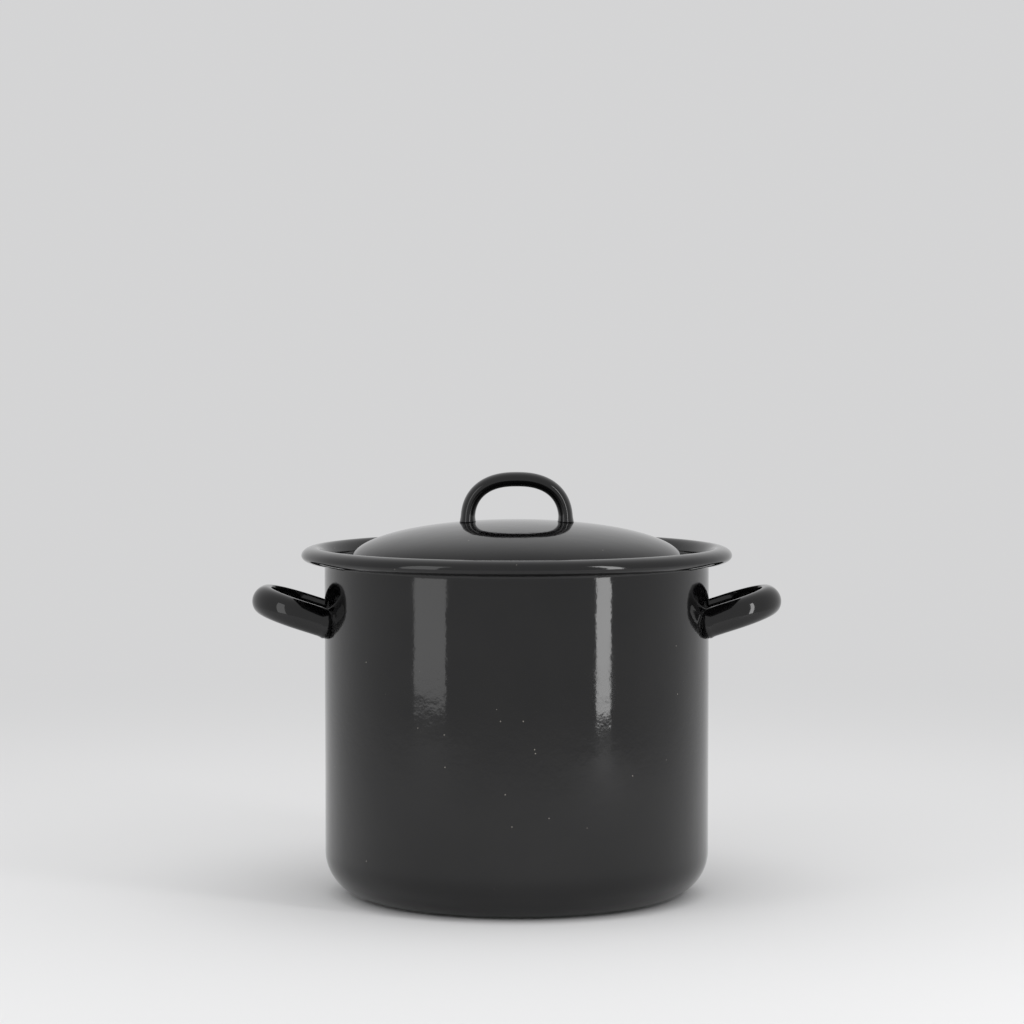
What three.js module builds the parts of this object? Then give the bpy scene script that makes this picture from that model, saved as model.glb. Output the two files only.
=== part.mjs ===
// Enamelled water bath canner: deep pot, sunk domed lid, and a wire jar rack with two lifting bails.
// Millimetres, +Z up. Origin at the centre of the base, on the surface that the pot stands on.
// The side handles lie along X.
import * as THREE from 'three';

// ---- driving dimensions -------------------------------------------------------------------------

const GAP = 0.3;                    // air kept between pieces that touch
const ROUND_SEGMENTS = 48;          // facets around the pot and the lid
const RING_SEGMENTS = 40;           // facets around the rings of the rack
const WIRE_SIDES = 8;

const pot = {
  outerRadius: 101.2,
  sheet: 1.2,                       // steel and enamel together
  cornerRadius: 23,                 // outside radius between wall and base
  rimHeight: 183.5,                 // crest of the rim above the base
  neckDepth: 10,                    // the wall starts to flare this far below the crest
};

const rim = {                       // radii of the curled rim, heights below the crest
  throatRadius: 101.0,              // inner face where the wall starts to turn over
  throatDepth: 6.6,
  crestRadius: 106.2,
  noseRadius: 113.4,
  noseDepth: 4.5,
  underDepth: 8.2,
  lipRadius: 104.6,                 // free edge of the curl
};

const lid = {
  sheet: 1.1,
  domeRadius: 87.5,
  domeHeight: 20.1,
  flangeRadius: 100.0,
  flangeDepth: 6.4,                 // top of the flange below the crest of the rim
};

const bow = {                       // handle on the lid, an arch
  halfSpan: 25.8,                   // centre of a leg from the middle
  rise: 21.6,                       // centre line above the top of the dome
  squareness: 2.4,                  // exponent of the arch: 2 is an ellipse
  stations: 22,
  thickness: 7.7,
  width: 13,
  footLength: 4,
  footFlare: 0.12,
};

const loop = {                      // handles on the wall: half-round straps
  mountDepth: 39.1,                 // centre of the feet below the crest of the rim
  tilt: THREE.MathUtils.degToRad(17.8),
  reach: 32.5,                      // edge line of the outer end from the wall
  halfSpan: 23.2,
  cornerRadius: 20,
  outerBulge: 7.2,                  // depth of the round face, towards the hand
  innerBulge: 1.2,                  // depth of the nearly flat face, towards the pot
  height: 15.2,
  footLength: 5,
  footFlare: 0.1,
};

const rack = {
  radius: 93,
  ringWire: 2,                      // wire radii
  wire: 1.5,
  uprightWire: 1.75,
  baseHeight: 14,                   // centre of the lower ring
  topHeight: 80,                    // centre of the upper ring
  baseWirePitch: 24,
  baseWireCount: 6,
  uprightCount: 8,
  skidOffset: 50,
  skidHalfLength: 52,
};

const bail = {
  pivotX: 70,
  wire: 1.75,
  pinInner: 55,                     // where the leg turns into the pin
  pinOuter: 66,
  hookHalfWidth: 26,
  hookHeight: 64,                   // top of the hook above the pivot
  hookDrop: 12,
  hookGap: 16,
  eyeRadius: 3.4,
  eyeWire: 1.0,
};

// ---- materials ----------------------------------------------------------------------------------

const enamel = () => new THREE.MeshStandardMaterial({ color: 0x0b0b0d, roughness: 0.12, metalness: 0.0 });
const brightWire = () => new THREE.MeshStandardMaterial({ color: 0xb9bcc0, roughness: 0.28, metalness: 1.0 });

// ---- sections and outlines ----------------------------------------------------------------------

// A closed polygon with half axes a and b; the upper and the lower half may bulge differently.
function roundSection(a, b, sides, lowerB = b) {
  const points = [];
  for (let i = 0; i < sides; i += 1) {
    const angle = (2 * Math.PI * (i + 0.5)) / sides;
    const bulge = Math.sin(angle) > 0 ? b : lowerB;
    points.push(new THREE.Vector2(a * Math.cos(angle), bulge * Math.sin(angle)));
  }
  return new THREE.Shape(points);
}

// Points on an arc of an ellipse about (r, z), from one angle to another, in degrees.
function arcPoints(r, z, a, b, fromDeg, toDeg, steps) {
  const points = [];
  for (let i = 0; i <= steps; i += 1) {
    const angle = THREE.MathUtils.degToRad(fromDeg + ((toDeg - fromDeg) * i) / steps);
    points.push(new THREE.Vector2(r + a * Math.cos(angle), z + b * Math.sin(angle)));
  }
  return points;
}

// Both faces of a thin sheet whose middle follows the given points.
function sheetFaces(middle, thickness) {
  const left = [];
  const right = [];
  middle.forEach((point, i) => {
    const before = middle[Math.max(i - 1, 0)];
    const after = middle[Math.min(i + 1, middle.length - 1)];
    const along = after.clone().sub(before).normalize();
    const side = new THREE.Vector2(-along.y, along.x).multiplyScalar(thickness / 2);
    left.push(point.clone().add(side));
    right.push(point.clone().sub(side));
  });
  return { left, right };
}

function revolve(points, segments) {
  return new THREE.LatheGeometry(points, segments).rotateX(Math.PI / 2);
}

// ---- wires and straps bent along straight runs and round corners --------------------------------

function roundCorner(before, corner, after, radius, steps) {
  const back = before.clone().sub(corner).normalize();
  const ahead = after.clone().sub(corner).normalize();
  const turn = Math.PI - back.angleTo(ahead);
  if (turn < 1e-3 || radius === 0) return [corner.clone()];
  const cut = radius * Math.tan(turn / 2);
  const start = corner.clone().addScaledVector(back, cut);
  const middle = back.clone().add(ahead).normalize();
  const centre = corner.clone().addScaledVector(middle, radius / Math.cos(turn / 2));
  const axis = ahead.clone().cross(back).normalize();
  const points = [];
  for (let i = 0; i <= steps; i += 1) {
    const arm = start.clone().sub(centre).applyAxisAngle(axis, (turn * i) / steps);
    points.push(centre.clone().add(arm));
  }
  return points;
}

class BentPath extends THREE.Curve {
  constructor(corners, radius, cornerSteps) {
    super();
    const last = corners.length - 1;
    this.stations = corners.flatMap((corner, i) => (
      i === 0 || i === last
        ? [corner.clone()]
        : roundCorner(corners[i - 1], corner, corners[i + 1], radius, cornerSteps)
    ));
  }

  indexAt(u) {
    return Math.round(u * (this.stations.length - 1));
  }

  getPointAt(u) {
    return this.stations[this.indexAt(u)].clone();
  }

  getTangentAt(u) {
    const i = this.indexAt(u);
    const here = this.stations[i];
    const sum = new THREE.Vector3();
    if (i > 0) sum.add(here.clone().sub(this.stations[i - 1]).normalize());
    if (i < this.stations.length - 1) sum.add(this.stations[i + 1].clone().sub(here).normalize());
    return sum.normalize();
  }
}

function sweep(section, corners, radius, cornerSteps = 4) {
  const extrudePath = new BentPath(corners, radius, cornerSteps);
  const steps = extrudePath.stations.length - 1;
  return new THREE.ExtrudeGeometry(section, { steps, extrudePath, curveSegments: 1 });
}

function straightWire(radius, from, to) {
  return sweep(roundSection(radius, radius, WIRE_SIDES), [from, to], 0);
}

function moveVertices(geometry, move) {
  const position = geometry.getAttribute('position');
  const vertex = new THREE.Vector3();
  for (let i = 0; i < position.count; i += 1) {
    vertex.fromBufferAttribute(position, i);
    move(vertex);
    position.setXYZ(i, vertex.x, vertex.y, vertex.z);
  }
  return geometry;
}

// How far a welded foot spreads: 1 away from the foot, growing smoothly to 1 + flare at its end.
function footSpread(distance, length, flare) {
  const t = Math.max(0, 1 - distance / length);
  return 1 + flare * t * t;
}

// ---- pot ----------------------------------------------------------------------------------------

function potBody() {
  const { outerRadius, sheet, cornerRadius, rimHeight, neckDepth } = pot;
  const middleRadius = outerRadius - sheet / 2;
  const corner = cornerRadius - sheet / 2;
  const nose = rim.noseRadius - sheet / 2;
  const top = rimHeight - sheet / 2;
  const under = rimHeight - rim.underDepth + sheet / 2;
  const noseZ = rimHeight - rim.noseDepth;
  const throatZ = rimHeight - rim.throatDepth;
  const throatReach = rim.crestRadius - rim.throatRadius - sheet / 2;
  const noseReach = nose - rim.crestRadius;
  const middle = [
    new THREE.Vector2(0, sheet / 2),
    ...arcPoints(middleRadius - corner, sheet / 2 + corner, corner, corner, -90, 0, 6),
    new THREE.Vector2(middleRadius, rimHeight - neckDepth),
    new THREE.Vector2(middleRadius + 0.3, (rimHeight - neckDepth + throatZ) / 2),
    ...arcPoints(rim.crestRadius, throatZ, throatReach, top - throatZ, 180, 90, 4),
    ...arcPoints(rim.crestRadius, noseZ, noseReach, top - noseZ, 66, 0, 3),
    ...arcPoints(rim.crestRadius, noseZ, noseReach, noseZ - under, -24, -90, 3),
    new THREE.Vector2(rim.lipRadius, under + 0.2),
  ];
  const { left, right } = sheetFaces(middle, sheet);
  left[0].x = 0;
  right[0].x = 0;
  return revolve([...right, ...left.reverse()], ROUND_SEGMENTS);
}

// A strap loop in its own plane, turned up by the tilt and trimmed to the wall.
function sideHandle(side) {
  const { reach, halfSpan, cornerRadius, height, footLength, footFlare } = loop;
  const section = roundSection(height / 2, loop.innerBulge, 10, loop.outerBulge);
  const legRuns = [0, 2.5, footLength];
  const legStart = Math.sqrt(pot.outerRadius ** 2 - halfSpan ** 2);
  const outer = pot.outerRadius + reach - legStart;
  const near = legRuns.map((u) => new THREE.Vector3(u, -halfSpan, 0));
  const far = legRuns.map((u) => new THREE.Vector3(u, halfSpan, 0)).reverse();
  const ends = [new THREE.Vector3(outer, -halfSpan, 0), new THREE.Vector3(outer, halfSpan, 0)];
  const geometry = sweep(section, [...near, ...ends, ...far], cornerRadius, 5);
  const mountZ = pot.rimHeight - loop.mountDepth;
  moveVertices(geometry, (v) => {
    const u = v.x;
    const legY = Math.sign(v.y) * halfSpan;
    const spread = footSpread(u, footLength, footFlare);
    const y = Math.abs(u) < footLength ? legY + (v.y - legY) * spread : v.y;
    const z = v.z * spread;
    const isFoot = u < 0.01;
    const wallX = Math.sqrt((pot.outerRadius + GAP) ** 2 - y ** 2);
    const x = legStart + u * Math.cos(loop.tilt) - z * Math.sin(loop.tilt);
    const worldX = isFoot ? wallX : Math.max(x, wallX);
    v.set(side * worldX, side * y, mountZ + u * Math.sin(loop.tilt) + z * Math.cos(loop.tilt));
  });
  return geometry;
}

// ---- lid ----------------------------------------------------------------------------------------

const flangeTop = pot.rimHeight - lid.flangeDepth;

function domeTop(radius) {
  const share = Math.min(1, radius / lid.domeRadius);
  return flangeTop + lid.domeHeight * Math.sqrt(1 - share * share);
}

function lidShell() {
  const { sheet, domeRadius, domeHeight, flangeRadius } = lid;
  const half = sheet / 2;
  const beadRadius = flangeRadius - 1.2;
  const middle = [
    ...arcPoints(0, flangeTop - half, domeRadius - half, domeHeight, 90, 8, 9),
    new THREE.Vector2(domeRadius + 1.2, flangeTop - half),
    new THREE.Vector2(beadRadius, flangeTop - half),
    new THREE.Vector2(flangeRadius - half, flangeTop - half - 0.5),
  ];
  middle[0].x = 0;
  const { left, right } = sheetFaces(middle, sheet);
  left[0].x = 0;
  right[0].x = 0;
  return revolve([...right, ...left.reverse()], ROUND_SEGMENTS);
}

// Centre line of the bow: an arch a little squarer than an ellipse, standing on the dome.
function bowArch(footZ, topZ) {
  const { halfSpan, squareness, stations } = bow;
  const points = [];
  for (let i = 0; i <= stations; i += 1) {
    const angle = Math.PI * (1 - i / stations);
    const across = Math.sign(Math.cos(angle)) * Math.abs(Math.cos(angle)) ** (2 / squareness);
    const up = Math.max(0, Math.sin(angle)) ** (2 / squareness);
    points.push(new THREE.Vector3(halfSpan * across, 0, footZ + (topZ - footZ) * up));
  }
  return points;
}

function lidHandle() {
  const { halfSpan, rise, thickness, width, footLength, footFlare } = bow;
  const section = roundSection(width / 2, thickness / 2, 10);
  const footZ = domeTop(halfSpan) + GAP;
  const topZ = flangeTop + lid.domeHeight + rise;
  const footReach = thickness;
  const geometry = sweep(section, bowArch(footZ, topZ), 0);
  return moveVertices(geometry, (v) => {
    const distance = v.z - footZ;
    const spread = footSpread(Math.max(0, distance), footLength, footFlare);
    const legX = Math.sign(v.x) * halfSpan;
    const isFoot = distance < 0.6 && Math.abs(v.x - legX) < footReach;
    if (distance < footLength) v.x = legX + (v.x - legX) * spread;
    v.y *= spread;
    if (isFoot) v.z = domeTop(Math.hypot(v.x, v.y)) + GAP;
  });
}

// ---- jar rack -----------------------------------------------------------------------------------

function ring(height) {
  const { radius, ringWire } = rack;
  const section = arcPoints(radius, height, ringWire, ringWire, -157.5, 202.5, WIRE_SIDES);
  return revolve(section, RING_SEGMENTS);
}

function chordHalfLength(offset) {
  return Math.sqrt(rack.radius ** 2 - offset ** 2);
}

function baseWire(offset) {
  const z = rack.baseHeight + rack.ringWire + GAP + rack.wire;
  const reach = chordHalfLength(offset);
  return straightWire(rack.wire, new THREE.Vector3(-reach, offset, z), new THREE.Vector3(reach, offset, z));
}

// A foot wire lies along the floor of the pot and turns up to the lower ring at both ends.
function skid(x) {
  const { wire, skidHalfLength, baseHeight, ringWire } = rack;
  const low = pot.sheet + GAP + wire;
  const high = baseHeight - ringWire - GAP - wire;
  const end = chordHalfLength(x);
  const corners = [
    new THREE.Vector3(x, -end, high),
    new THREE.Vector3(x, -end + 4, high),
    new THREE.Vector3(x, -skidHalfLength, low),
    new THREE.Vector3(x, skidHalfLength, low),
    new THREE.Vector3(x, end - 4, high),
    new THREE.Vector3(x, end, high),
  ];
  return sweep(roundSection(wire, wire, WIRE_SIDES), corners, 5, 3);
}

function upright(angle) {
  const x = rack.radius * Math.cos(angle);
  const y = rack.radius * Math.sin(angle);
  const low = rack.baseHeight + rack.ringWire + GAP;
  const high = rack.topHeight - rack.ringWire - GAP;
  return straightWire(rack.uprightWire, new THREE.Vector3(x, y, low), new THREE.Vector3(x, y, high));
}

// The two dividers cross in the middle, one just above the other, and end at four uprights.
function divider(direction, level) {
  const reach = rack.radius - rack.uprightWire - GAP;
  const top = rack.topHeight - rack.ringWire - rack.wire - GAP;
  const z = top - level * (2 * rack.wire + GAP);
  const from = direction.clone().multiplyScalar(-reach).setZ(z);
  const to = direction.clone().multiplyScalar(reach).setZ(z);
  return straightWire(rack.wire, from, to);
}

const pivotHeight = rack.topHeight + rack.ringWire + GAP + bail.eyeRadius + bail.eyeWire;

function pivotEye(sideX, sideY) {
  const section = arcPoints(bail.eyeRadius, 0, bail.eyeWire, bail.eyeWire, -157.5, 202.5, WIRE_SIDES);
  const y = chordHalfLength(bail.pivotX);
  return new THREE.LatheGeometry(section, 12).translate(sideX * bail.pivotX, sideY * y, pivotHeight);
}

// One lifting bail: pin, leg, hook, crossbar, hook, leg, pin. It leans outwards a little at rest.
function liftingBail(side) {
  const { pivotX, wire, pinInner, pinOuter, hookHalfWidth, hookHeight, hookDrop, hookGap } = bail;
  const half = [
    [0, pinOuter, 0],
    [0, pinInner, 0],
    [0.6, pinInner, 20],
    [1.4, hookHalfWidth, 44],
    [2, hookHalfWidth, hookHeight - wire],
    [2 + hookGap, hookHalfWidth, hookHeight - wire],
    [2 + hookGap, hookHalfWidth, hookHeight - hookDrop],
  ];
  const corner = ([out, y, z], end) => (
    new THREE.Vector3(side * (pivotX + out), end * y, pivotHeight + z)
  );
  const corners = [...half.map((c) => corner(c, -1)), ...half.reverse().map((c) => corner(c, 1))];
  return sweep(roundSection(wire, wire, WIRE_SIDES), corners, 4, 2);
}

// ---- assembly -----------------------------------------------------------------------------------

const canner = new THREE.Group();

function add(name, geometry, material) {
  const mesh = new THREE.Mesh(geometry, material);
  mesh.name = name;
  canner.add(mesh);
}

add('pot_body', potBody(), enamel());
add('side_handle_left', sideHandle(-1), enamel());
add('side_handle_right', sideHandle(1), enamel());
add('lid_shell', lidShell(), enamel());
add('lid_handle', lidHandle(), enamel());

add('rack_base_ring', ring(rack.baseHeight), brightWire());
add('rack_top_ring', ring(rack.topHeight), brightWire());
for (let i = 0; i < rack.baseWireCount; i += 1) {
  const offset = (i - (rack.baseWireCount - 1) / 2) * rack.baseWirePitch;
  add(`rack_base_wire_${i + 1}`, baseWire(offset), brightWire());
}
add('rack_foot_wire_left', skid(-rack.skidOffset), brightWire());
add('rack_foot_wire_right', skid(rack.skidOffset), brightWire());
for (let i = 0; i < rack.uprightCount; i += 1) {
  add(`rack_upright_${i + 1}`, upright((2 * Math.PI * i) / rack.uprightCount), brightWire());
}
add('rack_divider_wire_x', divider(new THREE.Vector3(1, 0, 0), 0), brightWire());
add('rack_divider_wire_y', divider(new THREE.Vector3(0, 1, 0), 1), brightWire());
add('pivot_eye_left_front', pivotEye(-1, -1), brightWire());
add('pivot_eye_left_back', pivotEye(-1, 1), brightWire());
add('pivot_eye_right_front', pivotEye(1, -1), brightWire());
add('pivot_eye_right_back', pivotEye(1, 1), brightWire());
add('bail_left', liftingBail(-1), brightWire());
add('bail_right', liftingBail(1), brightWire());

export default canner;
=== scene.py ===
"""Looks of an enamelled water bath canner with a wire jar rack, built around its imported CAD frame.

Lengths in the shape functions are millimetres in the frame's own axes; mesh_piece() turns them
into metres. Every CAD node is replaced by a finer mesh of the same shape and size.
"""
import math
import random

import bpy
from mathutils import Matrix, Quaternion, Vector, noise


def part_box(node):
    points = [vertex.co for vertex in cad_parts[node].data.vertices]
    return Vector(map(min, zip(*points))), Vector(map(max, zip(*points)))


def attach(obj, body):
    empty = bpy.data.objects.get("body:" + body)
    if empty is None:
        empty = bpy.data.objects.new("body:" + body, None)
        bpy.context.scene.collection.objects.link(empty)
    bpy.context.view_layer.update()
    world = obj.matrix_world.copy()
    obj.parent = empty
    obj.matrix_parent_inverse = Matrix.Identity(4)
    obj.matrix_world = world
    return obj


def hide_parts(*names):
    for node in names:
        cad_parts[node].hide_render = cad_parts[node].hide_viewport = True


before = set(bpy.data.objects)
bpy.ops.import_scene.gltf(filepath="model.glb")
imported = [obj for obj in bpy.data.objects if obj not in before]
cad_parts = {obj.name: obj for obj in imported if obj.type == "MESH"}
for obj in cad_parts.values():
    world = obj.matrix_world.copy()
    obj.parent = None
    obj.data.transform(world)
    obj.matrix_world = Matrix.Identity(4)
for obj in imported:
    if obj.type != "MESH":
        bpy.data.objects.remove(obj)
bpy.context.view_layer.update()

MM = 0.001
TAU = 2 * math.pi


def node_box(node):
    """Lowest and highest corner of a CAD node, in millimetres."""
    low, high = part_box(node)
    return low / MM, high / MM


# ---- sizes read from the frame -------------------------------------------------------------------

POT_LOW, POT_HIGH = node_box("pot_body")
RIM_TOP = POT_HIGH.z
NOSE_RADIUS = POT_HIGH.x
LID_LOW, LID_HIGH = node_box("lid_shell")
DOME_TOP = LID_HIGH.z
BOW_TOP = node_box("lid_handle")[1].z
LOOP_REACH = node_box("side_handle_right")[1].x
RING_LOW, RING_HIGH = node_box("rack_base_ring")
TOP_RING_LOW, TOP_RING_HIGH = node_box("rack_top_ring")

# ---- sizes that belong to the shapes ---------------------------------------------------------------

WALL_RADIUS = 101.2
SHEET = 1.2
CORNER_RADIUS = 23.0
NECK_DEPTH = 9.6
THROAT_RADIUS = 101.0
CREST_RADIUS = 106.2
NOSE_DEPTH = 4.5
UNDER_DEPTH = 8.2
LID_SHEET = 1.1
DOME_RADIUS = 87.5
DOME_HEIGHT = 20.1
FLANGE_RADIUS = LID_HIGH.x
FLANGE_TOP = DOME_TOP - DOME_HEIGHT
RACK_RADIUS = 93.0
ROUND_STEPS = 256


# ---- mesh building -----------------------------------------------------------------------------------

def mesh_piece(name, points, faces, body, replaced=(), material=None, slot=None):
    """A smooth-shaded mesh from millimetre points, riding on a CAD body."""
    mesh = bpy.data.meshes.new(name)
    mesh.from_pydata([Vector(p) * MM for p in points], [], faces)
    mesh.validate()
    mesh.update()
    for polygon in mesh.polygons:
        polygon.use_smooth = True
    piece = bpy.data.objects.new(name, mesh)
    bpy.context.scene.collection.objects.link(piece)
    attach(piece, body)
    if replaced:
        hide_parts(*replaced)
    if material:
        mesh.materials.append(material)
    return piece


def smooth_line(points, per_span):
    """Catmull-Rom curve through 2-D points."""
    padded = [points[0], *points, points[-1]]
    line = []
    for i in range(len(points) - 1):
        p0, p1, p2, p3 = (Vector(p) for p in padded[i:i + 4])
        for k in range(per_span):
            t = k / per_span
            line.append(0.5 * (2 * p1 + (p2 - p0) * t + (2 * p0 - 5 * p1 + 4 * p2 - p3) * t * t
                               + (3 * p1 - p0 - 3 * p2 + p3) * t ** 3))
    line.append(Vector(points[-1]))
    return line


def arc(centre, radii, start, end, steps):
    """Points of an elliptic arc, angles in degrees."""
    points = []
    for i in range(steps + 1):
        a = math.radians(start + (end - start) * i / steps)
        points.append(Vector((centre[0] + radii[0] * math.cos(a), centre[1] + radii[1] * math.sin(a))))
    return points


def resample(points, step):
    """The same line with even steps of about the given length."""
    lengths = [0.0]
    for a, b in zip(points, points[1:]):
        lengths.append(lengths[-1] + (b - a).length)
    count = max(2, round(lengths[-1] / step))
    out, j = [], 0
    for i in range(count + 1):
        goal = lengths[-1] * i / count
        while j < len(points) - 2 and lengths[j + 1] < goal:
            j += 1
        span = lengths[j + 1] - lengths[j]
        t = 0 if span < 1e-9 else (goal - lengths[j]) / span
        out.append(points[j].lerp(points[j + 1], min(1, t)))
    return out


def sheet_outline(middle, thickness, end_steps=5):
    """Closed outline of a thin sheet: one face out to the free edge, a round edge, the other face back."""
    left, right = [], []
    for i, point in enumerate(middle):
        along = (middle[min(i + 1, len(middle) - 1)] - middle[max(i - 1, 0)]).normalized()
        side = Vector((-along.y, along.x)) * thickness / 2
        left.append(point + side)
        right.append(point - side)
    left[0].x = right[0].x = 0
    along = (middle[-1] - middle[-2]).normalized()
    start = right[-1] - middle[-1]
    edge = []
    for i in range(1, end_steps):
        a = math.pi * i / end_steps
        edge.append(middle[-1] + start * math.cos(a) + along * math.sin(a) * thickness / 2)
    return right + edge + left[::-1]


def revolve(outline, steps, wobble=None):
    """Points and faces of an outline turned round Z. The outline starts and ends on the axis."""
    points = [Vector((0, 0, outline[0].y))]
    inner = outline[1:-1]
    for r, z in ((p.x, p.y) for p in inner):
        for k in range(steps):
            a = TAU * k / steps
            out = wobble(a, r, z) if wobble else 0.0
            points.append(Vector(((r + out) * math.cos(a), (r + out) * math.sin(a), z)))
    points.append(Vector((0, 0, outline[-1].y)))
    last = len(points) - 1
    faces = []
    for k in range(steps):
        n = (k + 1) % steps
        faces.append((0, 1 + n, 1 + k))
        for j in range(len(inner) - 1):
            a, b = 1 + j * steps, 1 + (j + 1) * steps
            faces.append((a + k, a + n, b + n, b + k))
        a = 1 + (len(inner) - 1) * steps
        faces.append((a + k, a + n, last))
    return points, faces


def path_frames(path, closed=False):
    """Tangent and two cross directions at each point, carried along without twisting."""
    count = len(path)
    tangents = []
    for i in range(count):
        after = path[(i + 1) % count] if closed or i < count - 1 else path[i]
        before = path[i - 1] if closed or i > 0 else path[i]
        tangents.append((after - before).normalized())
    first = Vector((0, 0, 1)) if abs(tangents[0].z) < 0.9 else Vector((0, 1, 0))
    across = (first - tangents[0] * first.dot(tangents[0])).normalized()
    frames = []
    for i in range(count):
        if i:
            turn = tangents[i - 1].rotation_difference(tangents[i])
            across = turn @ across
            across = (across - tangents[i] * across.dot(tangents[i])).normalized()
        frames.append((tangents[i], across, tangents[i].cross(across)))
    return frames


def sweep(path, section, closed=False, cap_steps=3):
    """Points and faces of section(i, a) -> (u, v) carried along a path, with rounded ends."""
    frames = path_frames(path, closed)
    sides = len(section(0))
    rings = [[path[i] + u * frames[i][1] + v * frames[i][2] for u, v in section(i)]
             for i in range(len(path))]
    if not closed and cap_steps:
        rings = (end_rings(rings[0], -frames[0][0], cap_steps)[::-1] + rings
                 + end_rings(rings[-1], frames[-1][0], cap_steps))
    points = [p for ring in rings for p in ring]
    faces = []
    spans = len(rings) if closed else len(rings) - 1
    for i in range(spans):
        a, b = i * sides, ((i + 1) % len(rings)) * sides
        for k in range(sides):
            n = (k + 1) % sides
            faces.append((a + k, b + k, b + n, a + n))
    if not closed:
        faces.append(tuple(range(sides)))
        base = (len(rings) - 1) * sides
        faces.append(tuple(base + k for k in reversed(range(sides))))
    return points, faces


def end_rings(ring, outward, steps):
    """Smaller and smaller copies of the last ring that round off an end by a little."""
    centre = sum(ring, Vector()) / len(ring)
    radius = min((p - centre).length for p in ring)
    bevel = 0.45 * radius
    rings = []
    for i in range(1, steps + 1):
        a = math.pi / 2 * i / steps
        shrink = 1 - (bevel / radius) * (1 - math.cos(a))
        shift = outward * bevel * (math.sin(a) - 1)
        rings.append([centre + (p - centre) * shrink + shift for p in ring])
    return rings


def round_section(radius, sides=14):
    ring = [(radius * math.cos(TAU * k / sides), radius * math.sin(TAU * k / sides)) for k in range(sides)]
    return lambda i: ring


def bent_path(corners, radius, step=1.2):
    """A wire's centre line: straight runs joined by arcs, in even small steps."""
    line = [Vector(corners[0])]
    for i in range(1, len(corners) - 1):
        before, corner, after = (Vector(c) for c in corners[i - 1:i + 2])
        back, ahead = (before - corner).normalized(), (after - corner).normalized()
        turn = math.pi - back.angle(ahead)
        if turn < 1e-3:
            line.append(corner)
            continue
        start = corner + back * radius * math.tan(turn / 2)
        centre = corner + (back + ahead).normalized() * radius / math.cos(turn / 2)
        axis = ahead.cross(back).normalized()
        steps = max(4, round(radius * turn / step))
        for k in range(steps + 1):
            line.append(centre + Quaternion(axis, turn * k / steps) @ (start - centre))
    line.append(Vector(corners[-1]))
    return line


def densify(line, step):
    """Adds points on long straight runs, so that shading and noise have something to hold."""
    out = [line[0]]
    for a, b in zip(line, line[1:]):
        count = max(1, math.ceil((b - a).length / step))
        out += [a.lerp(b, k / count) for k in range(1, count + 1)]
    return out


def foot_spread(distance, length, flare):
    """A welded foot spreads from 1 to 1 + flare over its length."""
    t = max(0.0, 1 - distance / length)
    return 1 + flare * t * t


# ---- materials ---------------------------------------------------------------------------------------

def new_material(name):
    material = bpy.data.materials.new(name)
    material.use_nodes = True
    tree = material.node_tree
    shader = tree.nodes["Principled BSDF"]
    return material, tree, shader


def add_node(tree, kind, values=None, **settings):
    node = tree.nodes.new(kind)
    for key, value in settings.items():
        setattr(node, key, value)
    for key, value in (values or {}).items():
        node.inputs[key].default_value = value
    return node


def object_noise(tree, scale, detail=2.0, stretch=(1, 1, 1), roughness=0.5):
    """Fractal noise in the piece's own coordinates; scale is in cycles per metre."""
    coordinates = add_node(tree, "ShaderNodeTexCoord")
    mapping = add_node(tree, "ShaderNodeMapping", {"Scale": stretch})
    tree.links.new(coordinates.outputs["Object"], mapping.inputs["Vector"])
    texture = add_node(tree, "ShaderNodeTexNoise",
                       {"Scale": scale, "Detail": detail, "Roughness": roughness})
    tree.links.new(mapping.outputs["Vector"], texture.inputs["Vector"])
    return texture.outputs["Fac"]


def ramp(tree, value, stops):
    """Colour ramp through (position, grey or colour) stops."""
    node = add_node(tree, "ShaderNodeValToRGB")
    elements = node.color_ramp.elements
    while len(elements) < len(stops):
        elements.new(0.5)
    for element, (position, colour) in zip(elements, stops):
        element.position = position
        element.color = (*colour, 1) if isinstance(colour, tuple) else (colour, colour, colour, 1)
    tree.links.new(value, node.inputs["Fac"])
    return node.outputs["Color"]


def bump(tree, height, distance, below=None):
    node = add_node(tree, "ShaderNodeBump", {"Strength": 1.0, "Distance": distance})
    tree.links.new(height, node.inputs["Height"])
    if below:
        tree.links.new(below, node.inputs["Normal"])
    return node.outputs["Normal"]


def mix_colour(tree, factor, first, second):
    node = add_node(tree, "ShaderNodeMix", data_type="RGBA")
    tree.links.new(factor, node.inputs["Factor"])
    for socket, colour in ((node.inputs[6], first), (node.inputs[7], second)):
        if isinstance(colour, tuple):
            socket.default_value = (*colour, 1)
        else:
            tree.links.new(colour, socket)
    return node.outputs[2]


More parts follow.
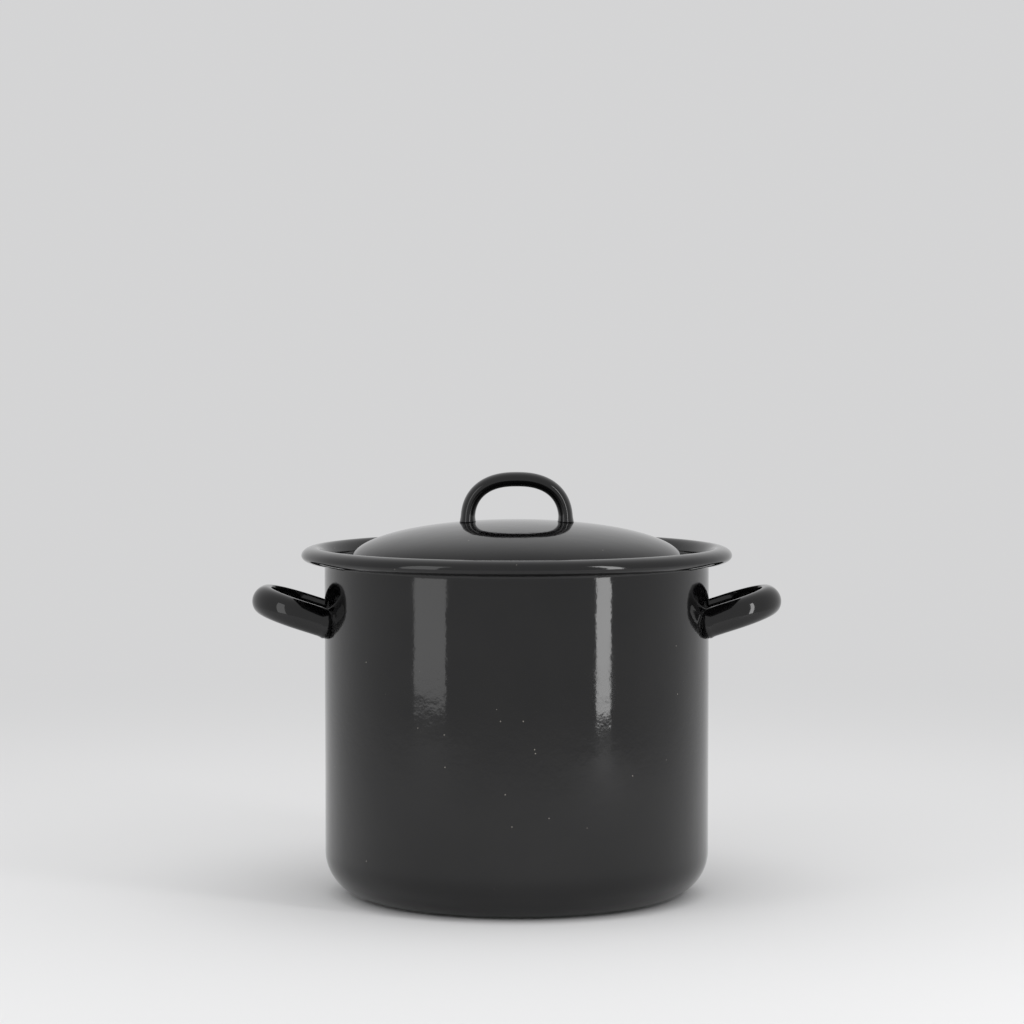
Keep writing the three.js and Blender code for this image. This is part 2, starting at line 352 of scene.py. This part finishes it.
def enamel(name, slow_depth, peel_depth, fine_depth, speck_share):
    """Fired black enamel: glassy, gently wavy, with pin-head specks and thin brown edges."""
    material, tree, shader = new_material(name)
    shader.inputs["IOR"].default_value = 1.5
    edges = add_node(tree, "ShaderNodeNewGeometry").outputs["Pointiness"]
    thin = ramp(tree, edges, [(0.53, 0.0), (0.62, 1.0)])
    tone = ramp(tree, object_noise(tree, 35, 3),
                [(0.35, (0.0016, 0.0016, 0.0018)), (0.7, (0.0034, 0.0032, 0.0034))])
    colour = mix_colour(tree, thin, tone, (0.016, 0.010, 0.007))
    coordinates = add_node(tree, "ShaderNodeTexCoord")
    cells = add_node(tree, "ShaderNodeTexVoronoi", {"Scale": 170.0})
    tree.links.new(coordinates.outputs["Object"], cells.inputs["Vector"])
    dots = ramp(tree, cells.outputs["Distance"], [(0.04, 1.0), (0.07, 0.0)])
    chosen = ramp(tree, cells.outputs["Color"], [(1 - speck_share, 0.0), (1.02 - speck_share, 1.0)])
    specks = add_node(tree, "ShaderNodeMath", operation="MULTIPLY")
    tree.links.new(dots, specks.inputs[0])
    tree.links.new(chosen, specks.inputs[1])
    colour = mix_colour(tree, specks.outputs[0], colour, (0.20, 0.185, 0.165))
    tree.links.new(colour, shader.inputs["Base Color"])
    rough = ramp(tree, object_noise(tree, 22, 4, roughness=0.6), [(0.3, 0.045), (0.75, 0.10)])
    tree.links.new(rough, shader.inputs["Roughness"])
    slow = bump(tree, object_noise(tree, 60, 1.5), slow_depth)
    peel = bump(tree, object_noise(tree, 330, 1.0), peel_depth, slow)
    fine = bump(tree, object_noise(tree, 900, 1.0), fine_depth, peel)
    tree.links.new(fine, shader.inputs["Normal"])
    return material


def bright_wire():
    """Plated steel wire: drawn lines, water stains and a few dull patches."""
    material, tree, shader = new_material("bright_wire")
    shader.inputs["Metallic"].default_value = 1.0
    stains = ramp(tree, object_noise(tree, 90, 4, roughness=0.65),
                  [(0.30, (0.52, 0.51, 0.49)), (0.55, (0.62, 0.63, 0.64)), (0.8, (0.67, 0.68, 0.69))])
    tree.links.new(stains, shader.inputs["Base Color"])
    rough = ramp(tree, object_noise(tree, 140, 3), [(0.3, 0.20), (0.7, 0.32)])
    tree.links.new(rough, shader.inputs["Roughness"])
    lines = bump(tree, object_noise(tree, 900, 2), 0.000005)
    tree.links.new(lines, shader.inputs["Normal"])
    return material


def weld_metal():
    """Resistance welds: duller and heat-tinted beside the bright wire."""
    material, tree, shader = new_material("weld_metal")
    shader.inputs["Metallic"].default_value = 1.0
    tint = ramp(tree, object_noise(tree, 260, 3),
                [(0.3, (0.30, 0.25, 0.20)), (0.55, (0.45, 0.43, 0.42)), (0.8, (0.36, 0.38, 0.46))])
    tree.links.new(tint, shader.inputs["Base Color"])
    rough = ramp(tree, object_noise(tree, 500, 3), [(0.3, 0.35), (0.7, 0.6)])
    tree.links.new(rough, shader.inputs["Roughness"])
    pits = bump(tree, object_noise(tree, 1500, 3), 0.00005)
    tree.links.new(pits, shader.inputs["Normal"])
    return material


ENAMEL = enamel("black_enamel", 0.00009, 0.000020, 0.000007, 0.30)
SMOOTH_ENAMEL = enamel("smooth_enamel", 0.00005, 0.000002, 0.0000004, 0.12)
WIRE = bright_wire()
WELD = weld_metal()
ENAMEL_LOOK = {"material": ENAMEL, "slot": "black_enamel"}
WIRE_LOOK = {"material": WIRE, "slot": "bright_wire"}


# ---- pot ---------------------------------------------------------------------------------------------

def pressed_wobble(angle, radius, height):
    """Pressed sheet is never quite round: a few hundredths of a millimetre, in slow waves."""
    at = Vector((math.cos(angle) * 3.2, math.sin(angle) * 3.2, height * 0.022))
    return 0.07 * noise.noise(at) * min(1, radius / 40)


def pot_middle():
    """Middle of the pot's sheet from the centre of the base to the free edge of the rim's curl."""
    radius = WALL_RADIUS - SHEET / 2
    corner = CORNER_RADIUS - SHEET / 2
    top = RIM_TOP - SHEET / 2
    base = [Vector((0, SHEET / 2)), Vector((radius - corner, SHEET / 2))]
    bend = arc((radius - corner, SHEET / 2 + corner), (corner, corner), -90, 0, 22)
    neck_z = RIM_TOP - NECK_DEPTH
    throat = (THROAT_RADIUS + SHEET / 2, RIM_TOP - 6.6)
    neck = smooth_line([(radius, neck_z - 1.5), (radius, neck_z), (radius + 0.35, neck_z + 1.5), throat,
                        (throat[0] + 0.35, throat[1] + 2.0)], 6)[6:-6]
    turn = arc((CREST_RADIUS, throat[1]), (CREST_RADIUS - throat[0], top - throat[1]), 180, 90, 20)
    nose_z = RIM_TOP - NOSE_DEPTH
    reach = NOSE_RADIUS - SHEET / 2 - CREST_RADIUS
    nose = arc((CREST_RADIUS, nose_z), (reach, top - nose_z), 90, 0, 20)
    drop = nose_z - (RIM_TOP - UNDER_DEPTH + SHEET / 2)
    under = arc((CREST_RADIUS, nose_z), (reach, drop), 0, -90, 16)
    curl = under[-1] + Vector((-1.6, 0.2))
    return (resample(base, 6) + bend[1:] + resample([bend[-1], Vector(neck[0])], 3.0)[1:]
            + neck[1:-1] + turn + nose[1:] + under[1:] + [curl])


def build_pot():
    outline = sheet_outline(pot_middle(), SHEET)
    points, faces = revolve(outline, ROUND_STEPS, pressed_wobble)
    mesh_piece("pot_shell", points, faces, "pot", ["pot_body"], **ENAMEL_LOOK)


def strap_section():
    """Half-round strap: a full outer face, a nearly flat inner face, tight edges between them."""
    ring = []
    for k in range(48):
        a = TAU * k / 48
        bulge, power = (7.2, 0.92) if math.sin(a) > 0 else (1.2, 0.6)
        ring.append((7.6 * math.cos(a), math.copysign(bulge * abs(math.sin(a)) ** power, math.sin(a))))
    return ring


def build_side_handle(side, name, node):
    tilt, half_span, foot_length, flare = math.radians(17.8), 23.2, 3.5, 0.09
    leg_x = math.sqrt(WALL_RADIUS ** 2 - half_span ** 2)
    outer = WALL_RADIUS + 32.5 - leg_x
    corners = [(0, -half_span, 0), (outer, -half_span, 0), (outer, half_span, 0), (0, half_span, 0)]
    path = densify(bent_path(corners, 20, 0.7), 0.7)
    points, faces = sweep(path, lambda i: strap_section(), cap_steps=0)
    middle_z = RIM_TOP - 39.1
    placed = []
    for p in points:
        u, leg = p.x, math.copysign(half_span, p.y)
        spread = foot_spread(u, foot_length, flare)
        y = leg + (p.y - leg) * spread if u < foot_length else p.y
        z = p.z * spread
        wall_x = math.sqrt((WALL_RADIUS + 0.02) ** 2 - y ** 2)
        x = leg_x + u * math.cos(tilt) - z * math.sin(tilt)
        x = wall_x - 0.3 if u < 0.01 else max(x, wall_x - 0.1)
        placed.append(Vector((side * x, side * y, middle_z + u * math.sin(tilt) + z * math.cos(tilt))))
    mesh_piece(name, placed, faces, "pot", [node], material=SMOOTH_ENAMEL, slot="black_enamel")


# ---- lid ---------------------------------------------------------------------------------------------

def dome_top(radius):
    share = min(1.0, radius / DOME_RADIUS)
    return FLANGE_TOP + DOME_HEIGHT * math.sqrt(1 - share * share)


def build_lid():
    half = LID_SHEET / 2
    z = FLANGE_TOP - half
    dome = arc((0, z), (DOME_RADIUS - half, DOME_HEIGHT), 90, 6, 60)
    foot = smooth_line([tuple(dome[-2]), tuple(dome[-1]), (DOME_RADIUS + 1.4, z), (DOME_RADIUS + 3.2, z - 0.1)], 5)[5:]
    flange = [Vector((FLANGE_RADIUS - 2.0, z - 0.1)), Vector((FLANGE_RADIUS - 1.0, z - 0.25)),
              Vector((FLANGE_RADIUS - half, z - 0.6))]
    middle = dome + foot[1:] + flange
    middle[0].x = 0
    points, faces = revolve(sheet_outline(middle, LID_SHEET), ROUND_STEPS, pressed_wobble)
    mesh_piece("lid_dome", points, faces, "lid", ["lid_shell"], **ENAMEL_LOOK)


def build_bow():
    half_span, squareness, thickness, width = 25.8, 2.4, 7.7, 13.0
    foot_z = dome_top(half_span) + 0.05
    top_z = BOW_TOP - thickness / 2
    path = []
    for i in range(121):
        a = math.pi * (1 - i / 120)
        across = math.copysign(abs(math.cos(a)) ** (2 / squareness), math.cos(a))
        up = max(0.0, math.sin(a)) ** (2 / squareness)
        path.append(Vector((half_span * across, 0, foot_z + (top_z - foot_z) * up)))
    path = resample(path, 0.7)
    ring = [(width / 2 * math.cos(TAU * k / 32), thickness / 2 * math.sin(TAU * k / 32)) for k in range(32)]
    points, faces = sweep(path, lambda i: ring, cap_steps=0)
    placed = []
    for p in points:
        height = p.z - foot_z
        spread = foot_spread(max(0.0, height), 4.0, 0.14)
        leg = math.copysign(half_span, p.x)
        x = leg + (p.x - leg) * spread if height < 4 else p.x
        y = p.y * spread
        z = dome_top(math.hypot(x, y)) - 0.2 if height < 0.3 else p.z
        placed.append(Vector((x, y, z)))
    mesh_piece("lid_bow", placed, faces, "lid", ["lid_handle"], material=SMOOTH_ENAMEL, slot="black_enamel")


# ---- jar rack ----------------------------------------------------------------------------------------

WELDS = []


def wire_piece(name, path, radius, body, node, closed=False):
    points, faces = sweep(path, round_section(radius), closed)
    return mesh_piece(name, points, faces, body, [node], **WIRE_LOOK)


def build_ring(name, node):
    low, high = node_box(node)
    height = (low.z + high.z) / 2
    path = [Vector((RACK_RADIUS * math.cos(TAU * k / 160), RACK_RADIUS * math.sin(TAU * k / 160), height))
            for k in range(160)]
    wire_piece(name, path, 2.0, "rack", node, closed=True)


def build_straight(node, radius):
    low, high = node_box(node)
    middle = (low + high) / 2
    size = high - low
    axis = max(range(3), key=lambda k: size[k])
    start, end = middle.copy(), middle.copy()
    start[axis], end[axis] = low[axis], high[axis]
    wire_piece(node.replace("rack_", "") + "_wire", densify([start, end], 4), radius, "rack", node)
    return start, end


def build_skid(node):
    low, high = node_box(node)
    x = (low.x + high.x) / 2
    end, bottom, top = high.y, low.z + 1.5, high.z - 1.5
    corners = [(x, -end, top), (x, 4 - end, top), (x, -52, bottom), (x, 52, bottom), (x, end - 4, top), (x, end, top)]
    wire_piece(node.replace("rack_", "") + "_bar", densify(bent_path(corners, 5), 3), 1.5, "rack", node)


def build_eye(node):
    low, high = node_box(node)
    middle = (low + high) / 2
    path = [middle + Vector((3.4 * math.cos(TAU * k / 32), 0, 3.4 * math.sin(TAU * k / 32))) for k in range(32)]
    wire_piece(node + "_loop", path, 1.0, "rack", node, closed=True)
    WELDS.append((Vector((middle.x, middle.y, low.z)), 1.7))


def build_bail(side, node):
    pivot_z = (node_box("pivot_eye_left_front")[0].z + node_box("pivot_eye_left_front")[1].z) / 2
    half = [(0, 66, 0), (0, 55, 0), (0.6, 55, 20), (1.4, 26, 44), (2, 26, 62.25), (18, 26, 62.25), (18, 26, 52)]
    corners = [(side * (70 + out), -y, pivot_z + z) for out, y, z in half]
    corners += [(side * (70 + out), y, pivot_z + z) for out, y, z in reversed(half)]
    wire_piece(node + "_wire", densify(bent_path(corners, 4), 2.5), 1.75, node, node)


def weld_blob(centre, radius, seed):
    """A squashed, slightly uneven bead of weld metal."""
    points, faces = [], []
    rows, columns = 6, 10
    for i in range(rows + 1):
        lift = math.pi * i / rows
        for k in range(columns):
            turn = TAU * k / columns
            d = Vector((math.sin(lift) * math.cos(turn), math.sin(lift) * math.sin(turn), math.cos(lift)))
            size = radius * (1 + 0.18 * noise.noise(d * 1.7 + Vector((seed, 0, 0))))
            points.append(centre + Vector((d.x, d.y, d.z * 0.62)) * size)
    for i in range(rows):
        for k in range(columns):
            a, b = i * columns, (i + 1) * columns
            n = (k + 1) % columns
            faces.append((a + k, b + k, b + n, a + n))
    return points, faces


def build_welds():
    points, faces = [], []
    for index, (centre, radius) in enumerate(WELDS):
        blob, blob_faces = weld_blob(centre, radius, index * 7.3)
        base = len(points)
        points += blob
        faces += [tuple(base + i for i in face) for face in blob_faces]
    mesh_piece("rack_welds", points, faces, "rack", material=WELD, slot="bright_wire")


def build_rack():
    build_ring("base_ring_wire", "rack_base_ring")
    build_ring("top_ring_wire", "rack_top_ring")
    base_z = (RING_LOW.z + RING_HIGH.z) / 2
    top_z = (TOP_RING_LOW.z + TOP_RING_HIGH.z) / 2
    for i in range(1, 7):
        for end in build_straight(f"rack_base_wire_{i}", 1.5):
            WELDS.append((Vector((end.x * 0.985, end.y, base_z + 2.1)), 1.5))
    for i in range(1, 9):
        for end in build_straight(f"rack_upright_{i}", 1.75):
            z = base_z + 2.1 if end.z < (base_z + top_z) / 2 else top_z - 2.1
            WELDS.append((Vector((end.x, end.y, z)), 1.9))
    for node in ("rack_divider_wire_x", "rack_divider_wire_y"):
        for end in build_straight(node, 1.5):
            WELDS.append((end.copy(), 1.6))
    WELDS.append((Vector((0, 0, (node_box("rack_divider_wire_x")[0].z + node_box("rack_divider_wire_y")[1].z) / 2)), 1.3))
    for node in ("rack_foot_wire_left", "rack_foot_wire_right"):
        build_skid(node)
    for node in ("pivot_eye_left_front", "pivot_eye_left_back", "pivot_eye_right_front", "pivot_eye_right_back"):
        build_eye(node)
    build_bail(-1, "bail_left")
    build_bail(1, "bail_right")
    build_welds()


build_pot()
build_side_handle(-1, "side_handle_left_strap", "side_handle_left")
build_side_handle(1, "side_handle_right_strap", "side_handle_right")
build_lid()
build_bow()
build_rack()


# ---- stage -------------------------------------------------------------------------------------------

PALE = (0.66, 0.66, 0.665)
FLOOR_PAPER = (0.74, 0.74, 0.745)
FADE_START, FADE_END = 0.45, 1.15      # metres from the middle over which the floor meets the backdrop


def background_rays(tree):
    """1 for the rays that show the background: camera, glossy and transmission rays."""
    rays = add_node(tree, "ShaderNodeLightPath")
    either = add_node(tree, "ShaderNodeMath", operation="MAXIMUM")
    tree.links.new(rays.outputs["Is Camera Ray"], either.inputs[0])
    tree.links.new(rays.outputs["Is Glossy Ray"], either.inputs[1])
    shown = add_node(tree, "ShaderNodeMath", operation="MAXIMUM")
    tree.links.new(either.outputs[0], shown.inputs[0])
    tree.links.new(rays.outputs["Is Transmission Ray"], shown.inputs[1])
    return shown.outputs[0]


def build_floor():
    """A pale floor that fades into the pale backdrop, and keeps the object's shadow."""
    half = 12.0
    corners = [(-half, -half, 0), (half, -half, 0), (half, half, 0), (-half, half, 0)]
    mesh = bpy.data.meshes.new("floor")
    mesh.from_pydata(corners, [], [(0, 1, 2, 3)])
    floor = bpy.data.objects.new("floor", mesh)
    floor.location.z = -0.0001
    bpy.context.scene.collection.objects.link(floor)
    material = bpy.data.materials.new("floor_paper")
    material.use_nodes = True
    tree = material.node_tree
    tree.nodes.clear()
    output = add_node(tree, "ShaderNodeOutputMaterial")
    paper = add_node(tree, "ShaderNodeBsdfDiffuse", {"Color": (*FLOOR_PAPER, 1)})
    backdrop = add_node(tree, "ShaderNodeEmission", {"Color": (*PALE, 1), "Strength": 1.0})
    geometry = add_node(tree, "ShaderNodeNewGeometry")
    distance = add_node(tree, "ShaderNodeVectorMath", operation="LENGTH")
    tree.links.new(geometry.outputs["Position"], distance.inputs[0])
    fade = add_node(tree, "ShaderNodeMapRange",
                    {"From Min": FADE_START, "From Max": FADE_END}, interpolation_type="SMOOTHSTEP")
    tree.links.new(distance.outputs["Value"], fade.inputs["Value"])
    share = add_node(tree, "ShaderNodeMath", operation="MULTIPLY")
    tree.links.new(fade.outputs["Result"], share.inputs[0])
    tree.links.new(background_rays(tree), share.inputs[1])
    shown = add_node(tree, "ShaderNodeMixShader")
    tree.links.new(share.outputs[0], shown.inputs[0])
    tree.links.new(paper.outputs[0], shown.inputs[1])
    tree.links.new(backdrop.outputs[0], shown.inputs[2])
    tree.links.new(shown.outputs[0], output.inputs["Surface"])
    mesh.materials.append(material)


def build_world():
    """A plain pale backdrop, and a plain even light on everything else."""
    world = bpy.data.worlds.new("studio")
    bpy.context.scene.world = world
    world.use_nodes = True
    tree = world.node_tree
    tree.nodes.clear()
    output = add_node(tree, "ShaderNodeOutputWorld")
    light = add_node(tree, "ShaderNodeBackground", {"Color": (0.8, 0.8, 0.8, 1), "Strength": 1.0})
    backdrop = add_node(tree, "ShaderNodeBackground", {"Color": (*PALE, 1), "Strength": 1.0})
    mix = add_node(tree, "ShaderNodeMixShader")
    tree.links.new(background_rays(tree), mix.inputs[0])
    tree.links.new(light.outputs[0], mix.inputs[1])
    tree.links.new(backdrop.outputs[0], mix.inputs[2])
    tree.links.new(mix.outputs[0], output.inputs["Surface"])


def softbox(name, location, target, size, radiance, mirrored=True):
    """A plain white rectangular softbox that faces its target; size is width and height."""
    light = bpy.data.lights.new(name, "AREA")
    light.shape = "RECTANGLE"
    light.size, light.size_y = size
    light.energy = radiance * math.pi * size[0] * size[1]
    lamp = bpy.data.objects.new(name, light)
    lamp.location = location
    lamp.rotation_mode = "QUATERNION"
    lamp.rotation_quaternion = (Vector(target) - Vector(location)).to_track_quat("-Z", "Y")
    lamp.visible_camera = False
    lamp.visible_glossy = mirrored
    bpy.context.scene.collection.objects.link(lamp)


def build_lights():
    """A key on the right, a weaker and wider fill on the left, and soft light from above and in front."""
    softbox("key", (0.60, -0.52, 0.50), (0, 0, 0.50), (0.12, 0.96), 6.0)
    softbox("fill", (-0.66, -0.56, 0.50), (0, 0, 0.50), (0.30, 0.96), 1.5)
    softbox("overhead", (0.2, -0.3, 2.2), (0, 0, 0.1), (1.6, 1.6), 1.0, mirrored=False)
    softbox("front", (-0.8, -2.2, 1.2), (0, 0, 0.1), (1.4, 1.4), 1.0, mirrored=False)


CAMERA_DISTANCE, CAMERA_HEIGHT = 1.8, 0.3045
CAMERA_PITCH = math.radians(3.275)
CAMERA_SIDE = -0.0025
SENSOR, FOCAL_RATIO = 36.0, 3.342


def build_camera():
    data = bpy.data.cameras.new("camera")
    data.sensor_width = SENSOR
    data.lens = SENSOR * FOCAL_RATIO
    camera = bpy.data.objects.new("camera", data)
    camera.location = (CAMERA_SIDE, -CAMERA_DISTANCE, CAMERA_HEIGHT)
    camera.rotation_euler = (math.pi / 2 - CAMERA_PITCH, 0, 0)
    bpy.context.scene.collection.objects.link(camera)
    bpy.context.scene.camera = camera


build_floor()
build_world()
build_lights()
build_camera()
bpy.context.scene.view_settings.view_transform = "Standard"
